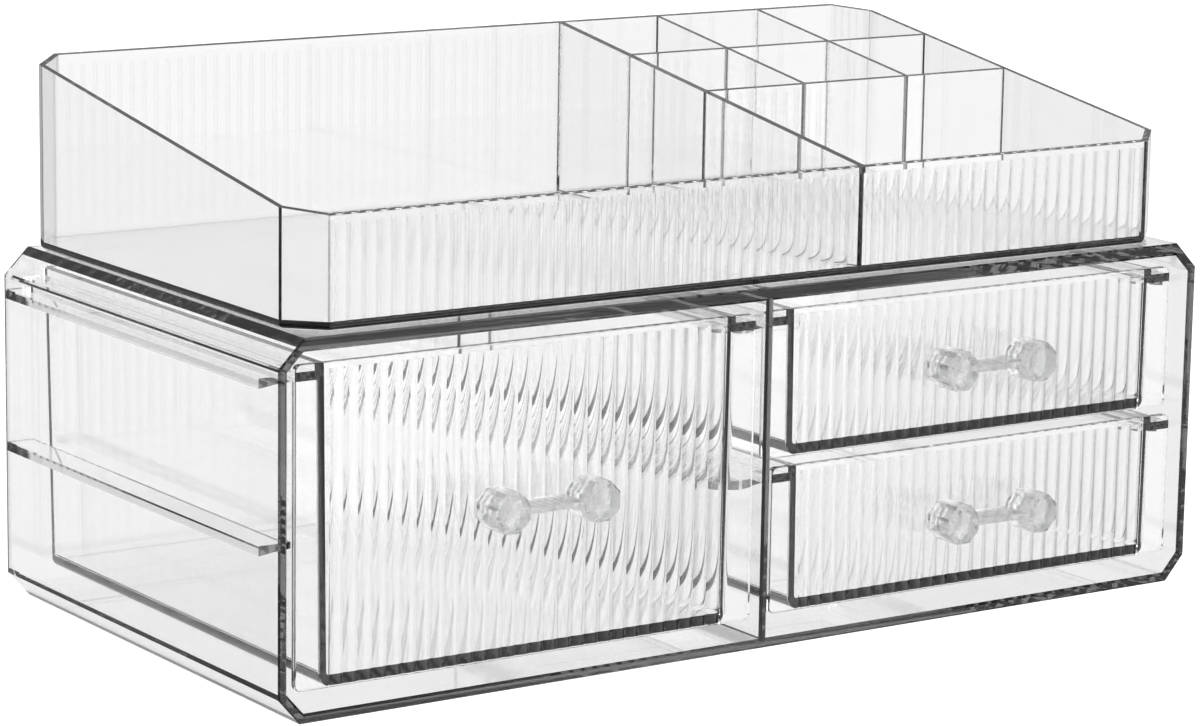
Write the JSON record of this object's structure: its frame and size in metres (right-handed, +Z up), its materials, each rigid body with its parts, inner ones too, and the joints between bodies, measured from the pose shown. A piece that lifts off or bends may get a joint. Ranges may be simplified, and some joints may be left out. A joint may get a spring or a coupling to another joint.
{
  "type": "clear drawer organizer",
  "caption": "Clear vanity organizer: a housing with reeded drawers that hang on rails, under a lift-off compartment tray with a sloping rim.",
  "frame": {"origin": "centre of the housing's footprint, on the surface that it stands on", "axes": "+X to the right as seen from the front, +Y to the back, +Z up"},
  "size_m": [0.33, 0.1838, 0.1666],
  "materials": {
    "clear_shell": "clear, polished moulded acrylic",
    "clear_drawer": "clear, polished moulded acrylic, reeded front",
    "clear_tray": "clear, polished moulded acrylic, reeded front",
    "clear_handle": "clear, polished moulded acrylic, faceted"
  },
  "bodies": {
    "housing": {"housing": "clear_shell"},
    "large_drawer": {"large_drawer": "clear_drawer", "large_handle": "clear_handle"},
    "upper_drawer": {"upper_drawer": "clear_drawer", "upper_handle": "clear_handle"},
    "lower_drawer": {"lower_drawer": "clear_drawer", "lower_handle": "clear_handle"},
    "tray": {"tray": "clear_tray"}
  },
  "joints": [
    {"name": "large_drawer_slide", "type": "slide", "parent": "housing", "child": "large_drawer", "axis": [0, -1, 0], "range_m": [0, 0.13]},
    {"name": "upper_drawer_slide", "type": "slide", "parent": "housing", "child": "upper_drawer", "axis": [0, -1, 0], "range_m": [0, 0.13]},
    {"name": "lower_drawer_slide", "type": "slide", "parent": "housing", "child": "lower_drawer", "axis": [0, -1, 0], "range_m": [0, 0.13]},
    {"name": "tray_lift", "type": "slide", "parent": "housing", "child": "tray", "axis": [0, 0, 1], "range_m": [0, 0.06]}
  ]
}
